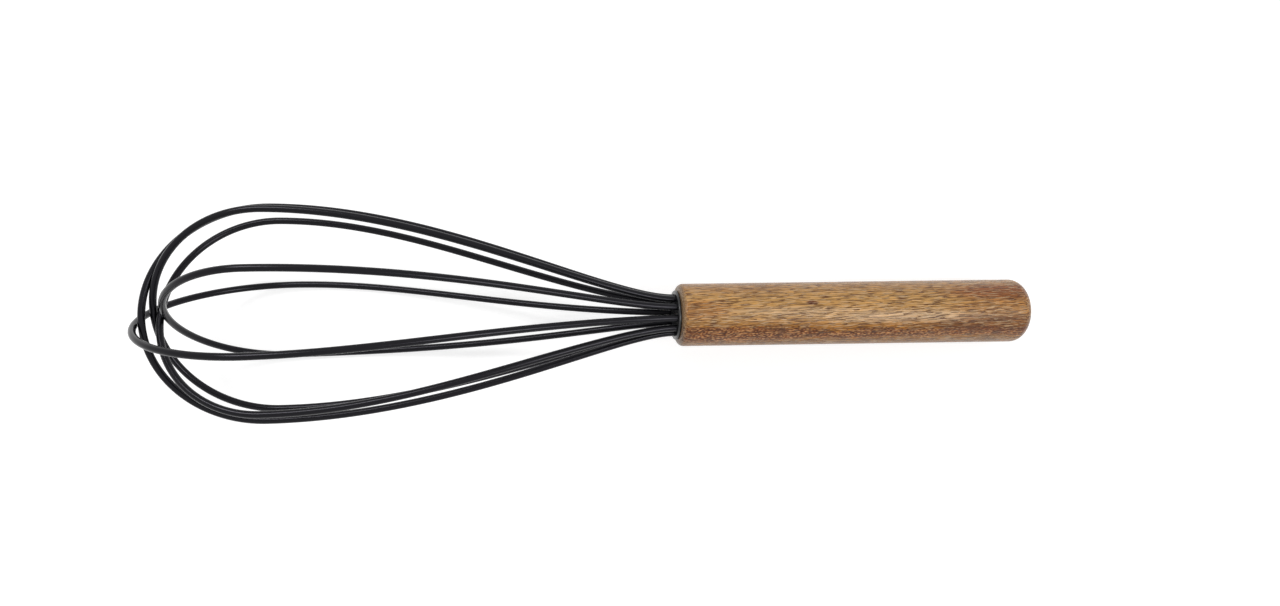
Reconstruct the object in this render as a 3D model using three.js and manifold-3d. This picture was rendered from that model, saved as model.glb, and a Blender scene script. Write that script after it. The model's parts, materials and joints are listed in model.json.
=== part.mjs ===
// A balloon whisk: five silicone-covered wire loops, held by a plug in a turned wooden handle.
// Millimetres, +Z up. The whisk lies on a table, head towards -X and butt towards +X.
import * as THREE from 'three';
import { mergeVertices } from 'three/addons/utils/BufferGeometryUtils.js';
import Module from 'manifold-3d';

// Wire loops: a spring-steel core in a silicone sleeve
const CORE_DIAMETER = 1.2;
const CORE_CLEARANCE = 0.1;
const SLEEVE_WALL = 0.45;

// Balloon: distances from the handle's end face and from the axis, to the middle of the wire. The whole
// balloon sits to one side of the axis by its sway.
const WIDEST = 132;
const HALF_WIDTH = 34;
const CROWN_HEIGHT = 40.8;
const NECK_LEAD = 21;
const BULGE_LEAD = 56;
const NEST_GAP = 0.15;
const SWAY = 2.5;

// A loop takes two opposite holes of the plug. nest counts inwards from the outermost loop, fan is
// the angle in degrees that the loop has turned from its holes at its widest place, and lean is the
// distance at which its crown passes beside the axis.
const LOOPS = [
  { nest: 1, fan: 4, lean: 2.8 },
  { nest: 2, fan: -7, lean: -0.8 },
  { nest: 4, fan: 3, lean: 1.5 },
  { nest: 0, fan: 10, lean: 2.2 },
  { nest: 3, fan: 20, lean: 0 },
];

// Plug: a flanged disc with a ring of stepped holes, turned by an angle in degrees
const RING_TURN = -5;
const SLEEVE_CLEARANCE = 0.1;
const HOLE_WEB = 1.15;
const PLUG_WALL = 0.35;
const SLEEVE_SEAT = 8;
const PLUG_BACK = 6;
const PLUG_CHAMFER = 0.6;
const FLANGE_LIP = 0.6;
const FLANGE_HEIGHT = 0.9;
const FLANGE_CHAMFER = 0.3;

// Adhesive slug round the bare wire ends
const CORE_TAIL = 8;
const POTTING_END = 3;

// Handle: a turned dowel with a blind bore
const HANDLE_LENGTH = 120;
const HANDLE_WALL = 2.8;
const HANDLE_SWELL = 0.35;
const MOUTH_LAND = 0.9;
const BUTT_ROUND = 4;
const BORE_RELIEF = 1;
const DRILL_POINT = 3;

// Fits between pieces that sit together
const BORE_CLEARANCE = 0.1;
const SEAT_GAP = 0.1;

// Fineness of the facets
const CORE_SIDES = 6;
const SLEEVE_SIDES = 10;
const HOLE_SIDES = 12;
const TURNED_SIDES = 48;
const ROUND_STEPS = 3;
const NECK_STEPS = 12;
const CROWN_STEPS = 9;

// Sizes that follow from the ones above
const coreRadius = CORE_DIAMETER / 2;
const coreHoleRadius = coreRadius + CORE_CLEARANCE;
const sleeveRadius = coreHoleRadius + SLEEVE_WALL;
const sleeveHoleRadius = sleeveRadius + SLEEVE_CLEARANCE;
const nestStep = 2 * sleeveRadius + NEST_GAP;
const holePitch = Math.PI / LOOPS.length;
const firstHole = THREE.MathUtils.degToRad(RING_TURN);
const ringRadius = (sleeveHoleRadius + HOLE_WEB / 2) / Math.sin(holePitch / 2);
const plugRadius = ringRadius + sleeveHoleRadius + PLUG_WALL;
const plugLength = SLEEVE_SEAT + PLUG_BACK;
const boreRadius = plugRadius + BORE_CLEARANCE;
const flangeRadius = boreRadius + FLANGE_LIP;
const flangeFront = SEAT_GAP + FLANGE_HEIGHT;
const sleeveDepth = SLEEVE_SEAT - SEAT_GAP;
const coreDepth = plugLength + CORE_TAIL;
const pottingFront = plugLength + SEAT_GAP;
const pottingBack = coreDepth + POTTING_END;
const boreDepth = pottingBack + BORE_RELIEF;
const mouthRadius = boreRadius + HANDLE_WALL;
const mouthRound = HANDLE_WALL - MOUTH_LAND;
const buttRadius = mouthRadius + HANDLE_SWELL;

const wasm = await Module();
wasm.setup();

// Side profile of every loop from the plug to its widest place: x is along the axis, y the radius
const neck = new THREE.CubicBezierCurve(
  new THREE.Vector2(flangeFront, ringRadius),
  new THREE.Vector2(flangeFront + NECK_LEAD, ringRadius),
  new THREE.Vector2(WIDEST - BULGE_LEAD, HALF_WIDTH),
  new THREE.Vector2(WIDEST, HALF_WIDTH),
);

// Middle line of one loop. It runs in even steps through the straight ends, the neck and the crown,
// so that a core and its sleeve bend at the same places.
class LoopPath extends THREE.Curve {
  constructor(loop, index, straight) {
    super();
    this.straight = straight;
    this.hole = firstHole + index * holePitch;
    this.fan = THREE.MathUtils.degToRad(loop.fan);
    this.lean = loop.lean;
    this.crown = CROWN_HEIGHT - loop.nest * nestStep;
    this.half = straight.length - 1 + NECK_STEPS + CROWN_STEPS;
    this.steps = 2 * this.half;
  }

  // Distance along the axis and radius, at a number of steps from the end of the wire
  profile(step, target) {
    const straightSteps = this.straight.length - 1;
    const neckStep = step - straightSteps;
    const crownStep = neckStep - NECK_STEPS;
    if (neckStep < 0) {
      const from = Math.floor(step);
      const along = THREE.MathUtils.lerp(this.straight[from], this.straight[from + 1], step - from);
      return target.set(along, ringRadius);
    }
    if (crownStep < 0) {
      return neck.getPoint(neckStep / NECK_STEPS, target);
    }
    const turn = (crownStep / CROWN_STEPS) * (Math.PI / 2);
    return target.set(WIDEST + this.crown * Math.sin(turn), HALF_WIDTH * Math.cos(turn));
  }

  getPoint(t, target = new THREE.Vector3()) {
    const step = t * this.steps;
    const side = step < this.half ? 1 : -1;
    const place = this.profile(this.half - Math.abs(step - this.half), new THREE.Vector2());
    const along = place.x;
    const spread = THREE.MathUtils.smoothstep(along, flangeFront, WIDEST);
    const angle = this.hole + this.fan * spread;
    const rise = Math.max(0, along - flangeFront) / (WIDEST + this.crown - flangeFront);
    const beside = this.lean * rise * rise;
    const across = this.hole + this.fan + Math.PI / 2;
    return target.set(
      -along,
      side * place.y * Math.cos(angle) + beside * Math.cos(across) + SWAY * spread,
      side * place.y * Math.sin(angle) + beside * Math.sin(across),
    );
  }

  getUtoTmapping(u) {
    return u;
  }
}

// Corners of a regular polygon
function polygon(radius, sides) {
  const middle = new THREE.Vector2();
  const corner = (_, i) => new THREE.Vector2(radius, 0).rotateAround(middle, (2 * Math.PI * i) / sides);
  return Array.from({ length: sides }, corner);
}

function sweep(section, path) {
  return new THREE.ExtrudeGeometry(section, { steps: path.steps, extrudePath: path });
}

// A piece turned on the axis: x in the outline is the radius, y is towards the head
function turned(outline) {
  return new THREE.LatheGeometry(outline.getPoints(ROUND_STEPS), TURNED_SIDES).rotateZ(Math.PI / 2);
}

function toSolid(geometry) {
  const bare = geometry.clone();
  bare.deleteAttribute('normal');
  bare.deleteAttribute('uv');
  const merged = mergeVertices(bare);
  const vertProperties = merged.attributes.position.array;
  const triVerts = new Uint32Array(merged.index.array);
  return new wasm.Manifold(new wasm.Mesh({ numProp: 3, vertProperties, triVerts }));
}

function toGeometry(solid) {
  const mesh = solid.getMesh();
  const geometry = new THREE.BufferGeometry();
  geometry.setAttribute('position', new THREE.BufferAttribute(mesh.vertProperties, 3));
  geometry.setIndex(new THREE.BufferAttribute(mesh.triVerts, 1));
  geometry.computeVertexNormals();
  return geometry;
}

// Cuts the ring of wire holes, from one distance along the axis to another
function drillRing(solid, radius, from, to) {
  let drilled = solid;
  for (let i = 0; i < 2 * LOOPS.length; i += 1) {
    const rod = new THREE.CylinderGeometry(radius, radius, to - from, HOLE_SIDES);
    rod.rotateZ(Math.PI / 2);
    rod.translate(-(from + to) / 2, ringRadius, 0);
    rod.rotateX(firstHole + i * holePitch);
    drilled = drilled.subtract(toSolid(rod));
  }
  return drilled;
}

function makeHandle() {
  const outline = new THREE.Path();
  outline.moveTo(0, -HANDLE_LENGTH);
  outline.lineTo(buttRadius - BUTT_ROUND, -HANDLE_LENGTH);
  outline.absarc(buttRadius - BUTT_ROUND, BUTT_ROUND - HANDLE_LENGTH, BUTT_ROUND, -Math.PI / 2, 0, false);
  outline.absarc(mouthRadius - mouthRound, -mouthRound, mouthRound, 0, Math.PI / 2, false);
  outline.lineTo(boreRadius, 0);
  outline.lineTo(boreRadius, -boreDepth);
  outline.lineTo(0, -boreDepth - DRILL_POINT);
  return turned(outline);
}

function makePlug() {
  const outline = new THREE.Path();
  outline.moveTo(0, -plugLength);
  outline.lineTo(plugRadius - PLUG_CHAMFER, -plugLength);
  outline.lineTo(plugRadius, PLUG_CHAMFER - plugLength);
  outline.lineTo(plugRadius, SEAT_GAP);
  outline.lineTo(flangeRadius - FLANGE_CHAMFER, SEAT_GAP);
  outline.lineTo(flangeRadius, SEAT_GAP + FLANGE_CHAMFER);
  outline.lineTo(flangeRadius, flangeFront - FLANGE_CHAMFER);
  outline.lineTo(flangeRadius - FLANGE_CHAMFER, flangeFront);
  outline.lineTo(0, flangeFront);
  const overrun = FLANGE_HEIGHT;
  const seated = drillRing(toSolid(turned(outline)), sleeveHoleRadius, -SLEEVE_SEAT, flangeFront + overrun);
  return toGeometry(drillRing(seated, coreHoleRadius, -plugLength - overrun, 0));
}

function makePotting() {
  const outline = new THREE.Path();
  outline.moveTo(0, -pottingBack);
  outline.lineTo(plugRadius, -pottingBack);
  outline.lineTo(plugRadius, -pottingFront);
  outline.lineTo(0, -pottingFront);
  const holeEnd = -coreDepth - SEAT_GAP;
  return toGeometry(drillRing(toSolid(turned(outline)), coreHoleRadius, holeEnd, 0));
}

function makeCore(loop, index) {
  const path = new LoopPath(loop, index, [-coreDepth, -sleeveDepth, flangeFront]);
  return sweep(new THREE.Shape(polygon(coreRadius, CORE_SIDES)), path);
}

function makeSleeve(loop, index) {
  const path = new LoopPath(loop, index, [-sleeveDepth, flangeFront]);
  const section = new THREE.Shape(polygon(sleeveRadius, SLEEVE_SIDES));
  section.holes.push(new THREE.Path(polygon(coreHoleRadius, CORE_SIDES)));
  return sweep(section, path);
}

const whisk = new THREE.Group();

function addPiece(name, geometry, finish) {
  const piece = new THREE.Mesh(geometry, new THREE.MeshStandardMaterial(finish));
  piece.name = name;
  whisk.add(piece);
  return piece;
}

const WOOD = { color: '#a8703f', roughness: 0.55, metalness: 0 };
const MOULDED_BLACK = { color: '#17181a', roughness: 0.45, metalness: 0 };
const SILICONE_BLACK = { color: '#1c1c1e', roughness: 0.5, metalness: 0 };
const SPRING_STEEL = { color: '#b8babd', roughness: 0.3, metalness: 1 };
const ADHESIVE = { color: '#c8b88c', roughness: 0.4, metalness: 0 };

const handle = addPiece('handle', makeHandle(), WOOD);
addPiece('wire_plug', makePlug(), MOULDED_BLACK);
addPiece('epoxy_potting', makePotting(), ADHESIVE);
LOOPS.forEach((loop, i) => addPiece(`steel_wire_${i + 1}`, makeCore(loop, i), SPRING_STEEL));
const sleeves = LOOPS.map((loop, i) => addPiece(`silicone_sleeve_${i + 1}`, makeSleeve(loop, i), SILICONE_BLACK));

// Lowest point of a piece once the head is raised by an angle
function lowest(piece, angle) {
  const corners = piece.geometry.attributes.position;
  let low = Infinity;
  for (let i = 0; i < corners.count; i += 1) {
    low = Math.min(low, corners.getZ(i) * Math.cos(angle) - corners.getX(i) * Math.sin(angle));
  }
  return low;
}

// At rest the head is raised until the balloon and the butt both touch the table
let [flat, steep] = [0, Math.PI / 4];
for (let i = 0; i < 40; i += 1) {
  const angle = (flat + steep) / 2;
  const head = Math.min(...sleeves.map((sleeve) => lowest(sleeve, angle)));
  if (head < lowest(handle, angle)) {
    flat = angle;
  } else {
    steep = angle;
  }
}
whisk.rotation.y = flat;

// The origin is on the table, under the middle of the whisk
const box = new THREE.Box3().setFromObject(whisk, true);
const middle = box.getCenter(new THREE.Vector3());
whisk.position.set(-middle.x, -middle.y, -box.min.z);

const part = new THREE.Group();
part.add(whisk);

export default part;
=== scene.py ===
# A balloon whisk on a white table: silicone-covered wire loops, a moulded plug and a turned handle.
import json
import math

import bmesh
import bpy
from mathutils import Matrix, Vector
from mathutils.geometry import interpolate_bezier


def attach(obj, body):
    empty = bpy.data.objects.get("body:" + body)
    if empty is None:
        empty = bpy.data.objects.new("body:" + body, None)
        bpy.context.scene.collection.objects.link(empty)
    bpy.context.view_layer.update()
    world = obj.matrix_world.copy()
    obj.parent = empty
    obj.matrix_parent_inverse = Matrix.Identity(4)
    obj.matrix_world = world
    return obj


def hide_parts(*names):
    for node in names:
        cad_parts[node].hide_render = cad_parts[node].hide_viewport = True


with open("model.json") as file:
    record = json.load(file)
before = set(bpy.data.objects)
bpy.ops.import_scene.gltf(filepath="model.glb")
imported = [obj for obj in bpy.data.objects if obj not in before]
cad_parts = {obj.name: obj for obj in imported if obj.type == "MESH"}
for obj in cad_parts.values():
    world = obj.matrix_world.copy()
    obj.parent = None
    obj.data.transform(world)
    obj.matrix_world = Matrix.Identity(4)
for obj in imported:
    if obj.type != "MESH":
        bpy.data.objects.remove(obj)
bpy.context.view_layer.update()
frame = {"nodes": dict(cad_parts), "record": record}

MM = 0.001

# Sizes of the whisk, the same as the solids have. It is modelled along X, with the handle's end face
# at 0, the head towards -X and the butt towards +X, and then laid on the table.
CORE_RADIUS = 0.6 * MM
SLEEVE_BORE_RADIUS = 0.7 * MM
SLEEVE_RADIUS = 1.15 * MM
WIDEST = 132 * MM
HALF_WIDTH = 34 * MM
CROWN_HEIGHT = 40.8 * MM
NECK_LEAD = 21 * MM
BULGE_LEAD = 56 * MM
NEST_STEP = 2.45 * MM
SWAY = 2.5 * MM
HOLE_RADIUS = 1.25 * MM
CORE_HOLE_RADIUS = 0.7 * MM
HOLE_WEB = 1.15 * MM
HOLE_PITCH = math.radians(36)
FIRST_HOLE = math.radians(-5)
HOLE_RING = (HOLE_RADIUS + HOLE_WEB / 2) / math.sin(HOLE_PITCH / 2)
PLUG_WALL = 0.35 * MM
PLUG_RADIUS = HOLE_RING + HOLE_RADIUS + PLUG_WALL
PLUG_LENGTH = 14 * MM
PLUG_CHAMFER = 0.6 * MM
SEAT_GAP = 0.1 * MM
SLEEVE_SEAT = 8 * MM
CORE_DEPTH = 22 * MM
FLANGE_LIP = 0.7 * MM
FLANGE_RADIUS = PLUG_RADIUS + FLANGE_LIP
FLANGE_FRONT = 1 * MM
FLANGE_EDGE = 0.3 * MM
BORE_RADIUS = PLUG_RADIUS + SEAT_GAP
BORE_DEPTH = 26 * MM
DRILL_POINT = 3 * MM
HANDLE_LENGTH = 120 * MM
HANDLE_WALL = 2.8 * MM
MOUTH_RADIUS = BORE_RADIUS + HANDLE_WALL
MOUTH_ROUND = 1.9 * MM
MOUTH_LAND = HANDLE_WALL - MOUTH_ROUND
BUTT_SWELL = 0.35 * MM
BUTT_RADIUS = MOUTH_RADIUS + BUTT_SWELL
BUTT_ROUND = 4 * MM

# Each loop: its place in the nest from the outside, how far it fans round from its holes in degrees,
# and how far its crown passes beside the axis
LOOPS = [
    (1, 4, 2.8 * MM),
    (2, -7, -0.8 * MM),
    (4, 3, 1.5 * MM),
    (0, 10, 2.2 * MM),
    (3, 20, 0),
]

# Fineness of the model: points along each half of a loop, what counts as one place along X,
# how close points are welded, and how far a cutter passes the piece that it cuts
NECK_POINTS = 72
DOME_POINTS = 54
SAME_PLACE = 0.01 * MM
WELD = 0.001 * MM
CUT_PAST = 1 * MM

# How the whisk lies, from the middle of the butt and the way that it faces
butt = frame["record"]["mounts"][0]
butt_axis = Vector(butt["axis"])
REST_TILT = math.atan2(-butt_axis.z, butt_axis.x)
REST_PLACE = Vector(butt["pos_m"]) - HANDLE_LENGTH * butt_axis


# Modelling

def select_only(*pieces):
    bpy.ops.object.select_all(action="DESELECT")
    for piece in pieces:
        piece.select_set(True)
    bpy.context.view_layer.objects.active = pieces[0]


def add_rod(name, radius, front, back, sides, ring=0, turn=0):
    """A cylinder along X between two places, beside the axis if it has a ring radius and a turn."""
    bpy.ops.object.select_all(action="DESELECT")
    bpy.ops.mesh.primitive_cylinder_add(
        vertices=sides,
        radius=radius,
        depth=back - front,
        location=((front + back) / 2, ring * math.cos(turn), ring * math.sin(turn)),
        rotation=(0, math.pi / 2, 0),
    )
    rod = bpy.context.object
    rod.name = name
    bpy.ops.object.transform_apply(location=True, rotation=True, scale=True)
    return rod


def select_end(piece, x):
    """In edit mode, selects the ring or face of a piece that lies square to X at one place."""
    bpy.ops.mesh.select_all(action="DESELECT")
    mesh = bmesh.from_edit_mesh(piece.data)
    for vertex in mesh.verts:
        vertex.select = abs(vertex.co.x - x) < SAME_PLACE
    mesh.select_flush(True)
    bmesh.update_edit_mesh(piece.data)


def apply_modifier(piece, kind, **settings):
    select_only(piece)
    modifier = piece.modifiers.new(kind.lower(), kind)
    for name, value in settings.items():
        setattr(modifier, name, value)
    bpy.ops.object.modifier_apply(modifier=modifier.name)


def finish_piece(piece, node, material, smooth_angle):
    """Welds and smooths a piece, lays it on the table with the rest and lets it stand for its solid."""
    select_only(piece)
    bpy.ops.object.mode_set(mode="EDIT")
    bpy.ops.mesh.select_all(action="SELECT")
    bpy.ops.mesh.remove_doubles(threshold=WELD)
    bpy.ops.mesh.normals_make_consistent(inside=False)
    bpy.ops.object.mode_set(mode="OBJECT")
    bpy.ops.object.shade_smooth_by_angle(angle=math.radians(smooth_angle))
    piece.rotation_euler = (0, REST_TILT, 0)
    piece.location = REST_PLACE
    bpy.ops.object.transform_apply(location=True, rotation=True, scale=True)
    piece.data.materials.clear()
    piece.data.materials.append(material)
    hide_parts(node)
    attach(piece, "root")


def turn_handle():
    """A dowel that is a little thicker at the butt, rounded at both ends and bored at the mouth."""
    handle = add_rod("turned_handle", MOUTH_RADIUS, 0, HANDLE_LENGTH, sides=160)
    bpy.ops.object.mode_set(mode="EDIT")
    swell = BUTT_RADIUS / MOUTH_RADIUS
    select_end(handle, HANDLE_LENGTH)
    bpy.ops.transform.resize(value=(1, swell, swell), center_override=(HANDLE_LENGTH, 0, 0))
    bpy.ops.mesh.bevel(offset=BUTT_ROUND, segments=14, affect="EDGES")
    select_end(handle, 0)
    bpy.ops.mesh.bevel(offset=MOUTH_ROUND, segments=10, affect="EDGES")
    select_end(handle, 0)
    bpy.ops.mesh.inset(thickness=MOUTH_LAND)
    bpy.ops.mesh.extrude_region_move(TRANSFORM_OT_translate={"value": (BORE_DEPTH, 0, 0)})
    bpy.ops.mesh.extrude_region_move(TRANSFORM_OT_translate={"value": (DRILL_POINT, 0, 0)})
    bpy.ops.mesh.merge(type="CENTER")
    bpy.ops.object.mode_set(mode="OBJECT")
    return handle


def mould_plug():
    """A flanged plug with rounded edges and a ring of stepped holes for the wires."""
    plug = add_rod("moulded_plug", FLANGE_RADIUS, -FLANGE_FRONT, -SEAT_GAP, sides=128)
    bpy.ops.object.mode_set(mode="EDIT")
    for edge in (-FLANGE_FRONT, -SEAT_GAP):
        select_end(plug, edge)
        bpy.ops.mesh.bevel(offset=FLANGE_EDGE, segments=5, affect="EDGES")
    select_end(plug, -SEAT_GAP)
    bpy.ops.mesh.inset(thickness=FLANGE_RADIUS - FLANGE_EDGE - PLUG_RADIUS)
    bpy.ops.mesh.extrude_region_move(TRANSFORM_OT_translate={"value": (PLUG_LENGTH + SEAT_GAP, 0, 0)})
    bpy.ops.mesh.bevel(offset=PLUG_CHAMFER, segments=2, affect="EDGES")
    bpy.ops.object.mode_set(mode="OBJECT")

    # A wide hole takes the sleeve and a narrow one behind it takes the bare wire
    turns = [FIRST_HOLE + HOLE_PITCH * i for i in range(2 * len(LOOPS))]
    for radius, front, back in (
        (HOLE_RADIUS, -FLANGE_FRONT - CUT_PAST, SLEEVE_SEAT),
        (CORE_HOLE_RADIUS, 0, PLUG_LENGTH + CUT_PAST),
    ):
        pins = [
            add_rod("hole_pin", radius, front, back, sides=32, ring=HOLE_RING, turn=turn)
            for turn in turns
        ]
        select_only(*pins)
        bpy.ops.object.join()
        apply_modifier(plug, "BOOLEAN", object=pins[0], operation="DIFFERENCE", solver="EXACT")
        bpy.data.objects.remove(pins[0])
    return plug


def loop_line(number, end):
    """Middle line of one wire loop, from an end in the plug round the balloon to the other end."""
    nest, fan, lean = LOOPS[number]
    hole = FIRST_HOLE + number * HOLE_PITCH
    fan = math.radians(fan)
    crown = CROWN_HEIGHT - nest * NEST_STEP

    # One half in its own plane: straight out of the plug, along the neck and over an elliptical dome
    neck = interpolate_bezier(
        Vector((FLANGE_FRONT, HOLE_RING)),
        Vector((FLANGE_FRONT + NECK_LEAD, HOLE_RING)),
        Vector((WIDEST - BULGE_LEAD, HALF_WIDTH)),
        Vector((WIDEST, HALF_WIDTH)),
        NECK_POINTS,
    )
    turns = [math.pi / 2 * i / DOME_POINTS for i in range(1, DOME_POINTS + 1)]
    dome = [Vector((WIDEST + crown * math.sin(t), HALF_WIDTH * math.cos(t))) for t in turns]
    half = [Vector((-end, HOLE_RING)), Vector((0, HOLE_RING)), *neck, *dome]

    # Both halves fan round on their way to the widest place, and lean to one side up to the crown
    across = hole + fan + math.pi / 2
    strands = []
    for side in (1, -1):
        strand = []
        for along, radius in half:
            share = min(max((along - FLANGE_FRONT) / (WIDEST - FLANGE_FRONT), 0), 1)
            spread = share * share * (3 - 2 * share)
            angle = hole + fan * spread
            rise = max(along - FLANGE_FRONT, 0) / (WIDEST + crown - FLANGE_FRONT)
            beside = lean * rise * rise
            strand.append(Vector((
                -along,
                side * radius * math.cos(angle) + beside * math.cos(across) + SWAY * spread,
                side * radius * math.sin(angle) + beside * math.sin(across),
            )))
        strands.append(strand)
    return strands[0] + strands[1][-2::-1]


def draw_wire(name, line, radius, capped):
    """A round wire along a line, with its ends closed or open."""
    bpy.ops.object.select_all(action="DESELECT")
    bpy.ops.curve.primitive_nurbs_path_add()
    wire = bpy.context.object
    wire.name = name
    curve = wire.data
    curve.splines.clear()
    spline = curve.splines.new("POLY")
    spline.points.add(len(line) - 1)
    for point, place in zip(spline.points, line):
        point.co = (*place, 1)
    curve.bevel_depth = radius
    curve.bevel_resolution = 8
    curve.use_fill_caps = capped
    bpy.ops.object.convert(target="MESH")
    return bpy.context.object


# Materials

def paint(code):
    """A hex colour as the linear colour that a shader takes."""
    shares = [int(code[i:i + 2], 16) / 255 for i in (1, 3, 5)]
    return (*[s / 12.92 if s <= 0.04045 else ((s + 0.055) / 1.055) ** 2.4 for s in shares], 1)


def add_node(tree, kind, inputs=None, stops=None, **settings):
    """A node with its settings, its values or links, and the stops of its ramp if it has one."""
    node = tree.nodes.new(kind)
    for name, value in settings.items():
        setattr(node, name, value)
    for name, value in (inputs or {}).items():
        if isinstance(value, bpy.types.NodeSocket):
            tree.links.new(value, node.inputs[name])
        else:
            node.inputs[name].default_value = value
    for i, (position, colour) in enumerate(stops or []):
        ramp = node.color_ramp.elements
        stop = ramp[i] if i < 2 else ramp.new(position)
        stop.position = position
        stop.color = paint(colour)
    return node


def new_material(name, **values):
    """A material with a principled shader and the values that are the same all over it."""
    material = bpy.data.materials.new(name)
    material.use_nodes = True
    tree = material.node_tree
    shader = tree.nodes["Principled BSDF"]
    for socket, value in values.items():
        shader.inputs[socket.replace("_", " ")].default_value = value
    place = add_node(tree, "ShaderNodeTexCoord").outputs["Object"]
    return material, tree, shader, place


# The wood's patterns, in millimetres along, across and up through the handle: the waves of the grain
# and how high they are, and each pattern's size and its levels of finer detail
WAVE_SIZE = (14, 4, 4)
WAVE_HEIGHT = (0, 0.8, 0.8)
GRAIN_SLANT = math.radians(2.5)
GRAIN = {
    "cloud": ((30, 6, 6), 2),
    "fibre": ((11, 0.24, 0.24), 1),
    "pore": ((3.8, 0.24, 0.24), 0),
    "gleam": ((4, 0.26, 0.26), 1),
    "fleck": ((0.95, 0.36, 0.36), 0),
}

# Bands of growth: how far they lean for each millimetre up, and how far they sway.
# Heartwood: how far its edges fray, and how far its middle is from the bands' middle.
BAND_LEAN = 0.2
BAND_SWAY = 4.0
HEART_FRAY = 3.4
HEART_OFFSET = 1.55

# Patches in the wood, and two pale streaks that are a painted highlight along the top: middle and reach
# in millimetres, colour, and how much of it shows
PATCHES_AND_PAINTED_SHEEN = [
    ((5, 1.3, 10), (13, 4, 5), "#ab6c32", 0.55),
    ((110, 5.8, 8), (26, 4, 5), "#86491f", 0.9),
    ((112, 1, 10), (24, 5, 6), "#995e2b", 0.45),
    ((106, -4.1, 9), (30, 3.6, 6), "#6a381a", 0.6),
    # These two pale streaks are a painted highlight: a lamp's sheen along the crest, painted into the
    # wood's colour
    ((38, 0.8, 10), (24, 1.5, 8), "#cba982", 0.5),
    ((74, -1.7, 10), (29, 2.4, 8), "#cba982", 0.5),
    ((43, 3.3, 10), (2.6, 0.8, 3), "#54240d", 1.0),
]


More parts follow.
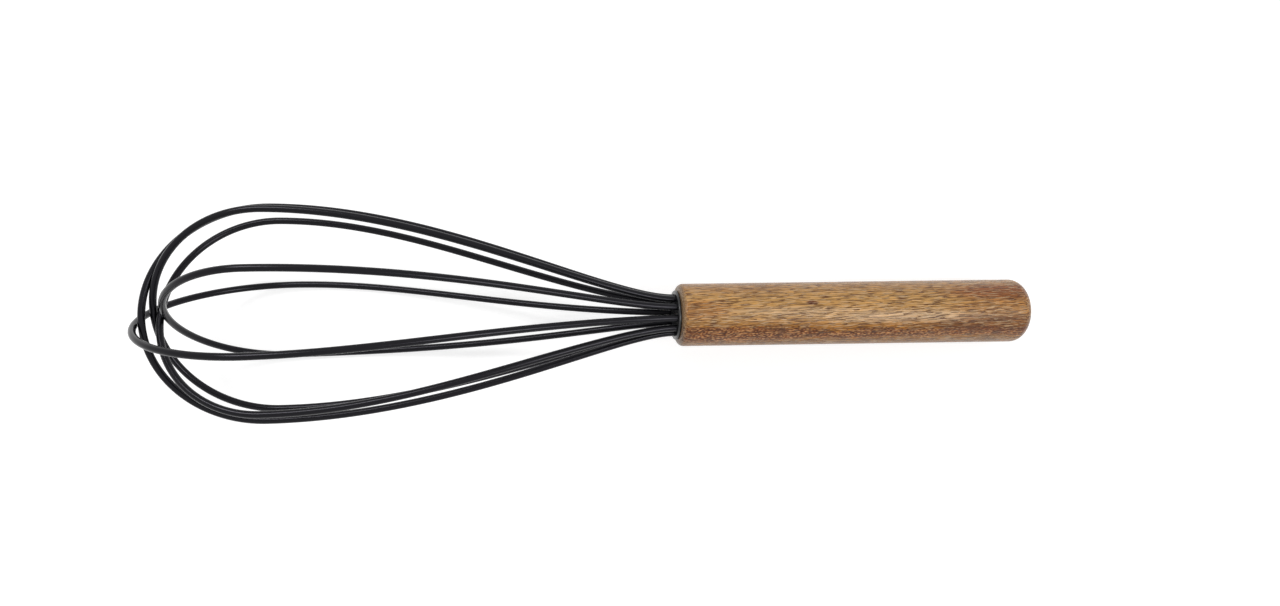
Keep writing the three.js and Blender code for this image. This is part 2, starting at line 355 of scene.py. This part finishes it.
def oiled_acacia():
    """Acacia, turned, sanded and oiled: golden wood with a ragged red-brown band of heartwood along it,
    wavy streaks, short dark pores, pale dashes, warm and dark patches, a pin knot, a soft sheen,
    and two pale streaks along the top that are a painted highlight."""
    material, tree, shader, place = new_material("oiled acacia", IOR=1.45, Specular_IOR_Level=0.36)

    # Places on the handle in millimetres, and the patterns on wavy, slanted grain
    along = add_node(tree, "ShaderNodeMapping", {
        "Vector": place, "Location": REST_PLACE, "Rotation": (0, REST_TILT, 0), "Scale": (MM, MM, MM),
    }, vector_type="TEXTURE").outputs[0]
    wave = add_node(tree, "ShaderNodeVectorMath", {0: along, 1: WAVE_SIZE}, operation="DIVIDE")
    wave = add_node(tree, "ShaderNodeTexNoise", {"Vector": wave.outputs[0], "Scale": 1, "Detail": 2})
    wavy = add_node(tree, "ShaderNodeVectorMath", {
        0: wave.outputs["Color"], 1: WAVE_HEIGHT, 2: along,
    }, operation="MULTIPLY_ADD").outputs[0]
    slanted = add_node(tree, "ShaderNodeMapping", {
        "Vector": wavy, "Rotation": (0, 0, GRAIN_SLANT),
    }, vector_type="TEXTURE").outputs[0]
    grain = {}
    for name, (size, detail) in GRAIN.items():
        drawn = add_node(tree, "ShaderNodeVectorMath", {0: slanted, 1: size}, operation="DIVIDE")
        grain[name] = add_node(tree, "ShaderNodeTexNoise", {
            "Vector": drawn.outputs[0], "Scale": 1, "Detail": detail,
        }).outputs[0]

    # Bands of growth lie across the handle, and lean a little from top to bottom
    spot = add_node(tree, "ShaderNodeSeparateXYZ", {0: wavy}).outputs
    depth = add_node(tree, "ShaderNodeMath", {
        0: spot["Z"], 1: BAND_LEAN, 2: spot["Y"],
    }, operation="MULTIPLY_ADD")
    sway = add_node(tree, "ShaderNodeMath", {
        0: grain["cloud"], 1: BAND_SWAY, 2: depth.outputs[0],
    }, operation="MULTIPLY_ADD")
    band = add_node(tree, "ShaderNodeMapRange", {
        "Value": sway.outputs[0], "From Min": -6.0, "From Max": 14.0,
    })
    tone = add_node(tree, "ShaderNodeValToRGB", {0: band.outputs[0]}, stops=[
        (0.0, "#98631f"),
        (1.0, "#a97a47"),
        (0.25, "#a66c26"),
        (0.45, "#b88b52"),
        (0.60, "#ba8b4f"),
        (0.75, "#be9054"),
        (0.90, "#b08048"),
    ])

    # Heartwood: the red-brown band, wider near the mouth and speckled at its edges
    ragged = add_node(tree, "ShaderNodeMath", {
        0: grain["fleck"], 1: HEART_FRAY, 2: sway.outputs[0],
    }, operation="MULTIPLY_ADD")
    offset = add_node(tree, "ShaderNodeMath", {0: ragged.outputs[0], 1: HEART_OFFSET}, operation="ADD")
    offset = add_node(tree, "ShaderNodeMath", {0: offset.outputs[0]}, operation="ABSOLUTE")
    width = add_node(tree, "ShaderNodeMapRange", {
        "Value": spot["X"], "From Max": 45, "To Min": 3.1, "To Max": 1.75,
    })
    offset = add_node(tree, "ShaderNodeMath", {
        0: offset.outputs[0], 1: width.outputs[0],
    }, operation="DIVIDE")
    heart = add_node(tree, "ShaderNodeMapRange", {
        "Value": offset.outputs[0], "From Min": 1.2, "From Max": 0.65, "To Max": 0.92,
    }, interpolation_type="SMOOTHSTEP")
    speckle = add_node(tree, "ShaderNodeValToRGB", {0: grain["fleck"]}, stops=[
        (0.36, "#4c1f06"),
        (0.64, "#c68f5c"),
        (0.5, "#8f4e1c"),
    ])
    wood = add_node(tree, "ShaderNodeMix", {
        0: heart.outputs[0], 6: tone.outputs[0], 7: speckle.outputs[0],
    }, data_type="RGBA")

    # Warm and dark patches by the mouth and the butt, two pale streaks of painted highlight between them,
    # and a pin knot
    for middle, size, colour, share in PATCHES_AND_PAINTED_SHEEN:
        near = add_node(tree, "ShaderNodeMapping", {
            "Vector": wavy, "Location": middle, "Scale": size,
        }, vector_type="TEXTURE")
        near = add_node(tree, "ShaderNodeVectorMath", {0: near.outputs[0]}, operation="LENGTH")
        patch = add_node(tree, "ShaderNodeMapRange", {
            "Value": near.outputs["Value"], "From Min": 1.1, "From Max": 0.5, "To Max": share,
        }, interpolation_type="SMOOTHSTEP")
        wood = add_node(tree, "ShaderNodeMix", {
            0: patch.outputs[0], 6: wood.outputs[2], 7: paint(colour),
        }, data_type="RGBA")

    # End grain at the mouth, dotted with cut pores. Its greyer, paler tone is partly end grain and partly
    # a painted sheen of the rounded lip.
    ends = add_node(tree, "ShaderNodeMapRange", {
        "Value": spot["X"], "From Min": 1.4, "From Max": 0.4, "To Max": 0.75,
    }, interpolation_type="SMOOTHSTEP")
    lip_dots_and_sheen = add_node(tree, "ShaderNodeValToRGB", {0: grain["fleck"]}, stops=[
        (0.38, "#46331f"),
        (0.62, "#b3987a"),
    ])
    wood = add_node(tree, "ShaderNodeMix", {
        0: ends.outputs[0], 6: wood.outputs[2], 7: lip_dots_and_sheen.outputs[0],
    }, data_type="RGBA")

    # Fibres run lighter and darker, and cut pores show as dark dashes
    shade = add_node(tree, "ShaderNodeMapRange", {
        "Value": grain["fibre"], "From Min": 0.3, "From Max": 0.7, "To Min": 0.5, "To Max": 1.44,
    })
    streaked = add_node(tree, "ShaderNodeVectorMath", {
        0: wood.outputs[2], "Scale": shade.outputs[0],
    }, operation="SCALE")
    pit = add_node(tree, "ShaderNodeMapRange", {
        "Value": grain["pore"], "From Min": 0.58, "From Max": 0.62, "To Max": 0.9,
    }, interpolation_type="SMOOTHSTEP")
    pitted = add_node(tree, "ShaderNodeMix", {
        0: pit.outputs[0], 6: streaked.outputs[0], 7: paint("#583116"),
    }, data_type="RGBA")

    # Cut fibre ends show as pale dashes, fewer of them in the heartwood
    pale = add_node(tree, "ShaderNodeMapRange", {
        "Value": grain["gleam"], "From Min": 0.55, "From Max": 0.64, "To Max": 0.66,
    }, interpolation_type="SMOOTHSTEP")
    sap = add_node(tree, "ShaderNodeMapRange", {
        "Value": heart.outputs[0], "To Min": 1.0, "To Max": 0.2,
    })
    pale = add_node(tree, "ShaderNodeMath", {0: pale.outputs[0], 1: sap.outputs[0]}, operation="MULTIPLY")
    flecked = add_node(tree, "ShaderNodeMix", {
        0: pale.outputs[0], 6: pitted.outputs[2], 7: paint("#d0ae84"),
    }, data_type="RGBA")
    tree.links.new(flecked.outputs[2], shader.inputs["Base Color"])

    # The oil leaves the pale fibres smoother, and the pores stay open
    gloss = add_node(tree, "ShaderNodeMapRange", {
        "Value": grain["gleam"], "From Min": 0.3, "From Max": 0.7, "To Min": 0.33, "To Max": 0.2,
    })
    tree.links.new(gloss.outputs[0], shader.inputs["Roughness"])
    height = add_node(tree, "ShaderNodeMath", {
        0: grain["gleam"], 1: pit.outputs[0],
    }, operation="SUBTRACT")
    bump = add_node(tree, "ShaderNodeBump", {
        "Strength": 1.0, "Distance": 0.1 * MM, "Height": height.outputs[0],
    })
    tree.links.new(bump.outputs[0], shader.inputs["Normal"])
    return material


def extruded_silicone():
    """Black silicone tube, extruded: even and satin, with a faint bloom that breaks up its sheen."""
    material, tree, shader, place = new_material(
        "extruded silicone", Base_Color=paint("#09090c"), IOR=1.41, Specular_IOR_Level=0.3,
        Specular_Tint=paint("#f6f3ff"),
    )
    bloom = add_node(tree, "ShaderNodeTexNoise", {"Vector": place, "Scale": 1 / (3 * MM), "Detail": 3})
    sheen = add_node(tree, "ShaderNodeMapRange", {
        "Value": bloom.outputs[0], "From Min": 0.3, "From Max": 0.7, "To Min": 0.15, "To Max": 0.24,
    })
    tree.links.new(sheen.outputs[0], shader.inputs["Roughness"])
    # The grit is drawn coarser than it is, so that it shows
    grit = add_node(tree, "ShaderNodeTexNoise", {"Vector": place, "Scale": 1 / (0.3 * MM), "Detail": 2})
    bump = add_node(tree, "ShaderNodeBump", {
        "Strength": 0.25, "Distance": 0.02 * MM, "Height": grit.outputs[0],
    })
    tree.links.new(bump.outputs[0], shader.inputs["Normal"])
    return material


def moulded_nylon():
    """Black nylon, injection moulded: satin, with a fine spark-eroded texture."""
    material, tree, shader, place = new_material(
        "moulded nylon", Base_Color=paint("#070708"), IOR=1.53, Specular_IOR_Level=0.55,
    )
    # The texture is drawn coarser than it is, so that it shows
    grit = add_node(tree, "ShaderNodeTexNoise", {"Vector": place, "Scale": 1 / (0.25 * MM), "Detail": 2})
    satin = add_node(tree, "ShaderNodeMapRange", {
        "Value": grit.outputs[0], "From Min": 0.3, "From Max": 0.7, "To Min": 0.22, "To Max": 0.32,
    })
    tree.links.new(satin.outputs[0], shader.inputs["Roughness"])
    bump = add_node(tree, "ShaderNodeBump", {
        "Strength": 0.2, "Distance": 0.02 * MM, "Height": grit.outputs[0],
    })
    tree.links.new(bump.outputs[0], shader.inputs["Normal"])
    return material


def drawn_steel():
    """Spring steel wire, drawn: bright, with a fine and uneven polish."""
    material, tree, shader, place = new_material(
        "drawn spring steel", Base_Color=paint("#b9bbbd"), Metallic=1.0,
    )
    polish = add_node(tree, "ShaderNodeTexNoise", {"Vector": place, "Scale": 1 / (0.2 * MM), "Detail": 1})
    shine = add_node(tree, "ShaderNodeMapRange", {
        "Value": polish.outputs[0], "To Min": 0.22, "To Max": 0.38,
    })
    tree.links.new(shine.outputs[0], shader.inputs["Roughness"])
    return material


def cured_epoxy():
    """Epoxy adhesive, poured and cured: amber and glossy, a little cloudy."""
    material, tree, shader, place = new_material("cured epoxy", IOR=1.52, Roughness=0.2)
    cloud = add_node(tree, "ShaderNodeTexNoise", {"Vector": place, "Scale": 1 / (4 * MM), "Detail": 2})
    amber = add_node(tree, "ShaderNodeValToRGB", {0: cloud.outputs[0]}, stops=[
        (0.3, "#b9a06a"),
        (0.7, "#cdbb8c"),
    ])
    tree.links.new(amber.outputs[0], shader.inputs["Base Color"])
    return material


# The whisk

wood = oiled_acacia()
silicone = extruded_silicone()
nylon = moulded_nylon()
steel = drawn_steel()
epoxy = cured_epoxy()

finish_piece(turn_handle(), "handle", wood, smooth_angle=30)
finish_piece(mould_plug(), "wire_plug", nylon, smooth_angle=30)
for i in range(len(LOOPS)):
    core = draw_wire(f"wire_core_{i + 1}", loop_line(i, CORE_DEPTH), CORE_RADIUS, capped=True)
    finish_piece(core, f"steel_wire_{i + 1}", steel, smooth_angle=60)
    sleeve_line = loop_line(i, SLEEVE_SEAT - SEAT_GAP)
    sleeve = draw_wire(f"sleeve_{i + 1}", sleeve_line, SLEEVE_RADIUS, capped=False)
    apply_modifier(sleeve, "SOLIDIFY", thickness=SLEEVE_RADIUS - SLEEVE_BORE_RADIUS, offset=-1)
    finish_piece(sleeve, f"silicone_sleeve_{i + 1}", silicone, smooth_angle=60)

# The adhesive, hidden in the bore, keeps the mesh of its solid
potting = frame["nodes"]["epoxy_potting"]
potting.data.materials.clear()
potting.data.materials.append(epoxy)


# Table, light and camera

TABLE_SIZE = 12
ROOM_LIGHT = 0.45

# The camera is over the middle of the whisk. The picture's width, its wider margin on the right and the
# focal length are in pixels, the camera's place is in millimetres and its turn is in degrees.
PICTURE_WIDTH = 1280
PICTURE_MARGIN = 63
FOCAL_LENGTH = 898.2
SENSOR_WIDTH = 36
CAMERA_PLACE = (-8.52, -20.29, 320.25)
CAMERA_TURN = (4.3, -0.273, -1.134)


def whiten(tree):
    """A share of 1 where the camera or a reflection sees the surface, and 0 where it only sends light."""
    path = add_node(tree, "ShaderNodeLightPath").outputs
    seen = add_node(tree, "ShaderNodeMath", {
        0: path["Is Camera Ray"], 1: path["Is Glossy Ray"],
    }, operation="MAXIMUM")
    seen = add_node(tree, "ShaderNodeMath", {
        0: seen.outputs[0], 1: path["Is Transmission Ray"],
    }, operation="MAXIMUM")
    return seen.outputs[0]


def white_table():
    """A white table top that takes the whisk's shadow, and glows where it is seen so that it is white."""
    material = bpy.data.materials.new("white table")
    material.use_nodes = True
    tree = material.node_tree
    tree.nodes.remove(tree.nodes["Principled BSDF"])
    lit = add_node(tree, "ShaderNodeBsdfDiffuse", {"Color": paint("#d8d8d8")})
    # The light of the lamps falls off with distance, and the glow makes up for it
    place = add_node(tree, "ShaderNodeTexCoord").outputs["Object"]
    reach = add_node(tree, "ShaderNodeVectorMath", {0: place}, operation="LENGTH")
    strength = add_node(tree, "ShaderNodeMapRange", {
        "Value": reach.outputs["Value"], "From Min": 0.5, "From Max": 2.2, "To Min": 0.6, "To Max": 0.74,
    })
    glow = add_node(tree, "ShaderNodeEmission", {"Strength": strength.outputs[0]})
    both = add_node(tree, "ShaderNodeAddShader", {0: lit.outputs[0], 1: glow.outputs[0]})
    mixed = add_node(tree, "ShaderNodeMixShader", {
        0: whiten(tree), 1: lit.outputs[0], 2: both.outputs[0],
    })
    tree.links.new(mixed.outputs[0], tree.nodes["Material Output"].inputs["Surface"])
    return material


def white_room():
    """A room that is white where it is seen, and a weaker light from all sides."""
    room = bpy.data.worlds.new("white room")
    room.use_nodes = True
    tree = room.node_tree
    walls = tree.nodes["Background"]
    walls.inputs["Color"].default_value = paint("#ffffff")
    strength = add_node(tree, "ShaderNodeMapRange", {
        "Value": whiten(tree), "To Min": ROOM_LIGHT, "To Max": 1,
    })
    tree.links.new(strength.outputs[0], walls.inputs["Strength"])
    return room


def hang_lamp(scene, name, place, size, power):
    """A square soft lamp that faces the whisk."""
    lamp = bpy.data.lights.new(name, "AREA")
    lamp.size = size
    lamp.energy = power
    hung = bpy.data.objects.new(name, lamp)
    hung.location = place
    hung.rotation_euler = (-Vector(place)).to_track_quat("-Z", "Y").to_euler()
    scene.collection.objects.link(hung)


def set_camera(scene):
    """The camera that gives the main picture."""
    lens = bpy.data.cameras.new("camera")
    lens.sensor_width = SENSOR_WIDTH
    lens.lens = FOCAL_LENGTH / PICTURE_WIDTH * SENSOR_WIDTH
    lens.shift_x = PICTURE_MARGIN / PICTURE_WIDTH
    camera = bpy.data.objects.new("camera", lens)
    camera.location = [length * MM for length in CAMERA_PLACE]
    camera.rotation_euler = [math.radians(angle) for angle in CAMERA_TURN]
    scene.collection.objects.link(camera)
    scene.camera = camera


bpy.ops.object.select_all(action="DESELECT")
bpy.ops.mesh.primitive_plane_add(size=TABLE_SIZE)
table = bpy.context.object
table.name = "table"
table.data.materials.append(white_table())

scene = bpy.context.scene
scene.world = white_room()
hang_lamp(scene, "soft_box", place=(-0.35, 0.55, 0.95), size=0.35, power=3.95)
hang_lamp(scene, "window", place=(0.6, -0.26, 0.93), size=0.42, power=3.75)
set_camera(scene)
scene.view_settings.view_transform = "Standard"
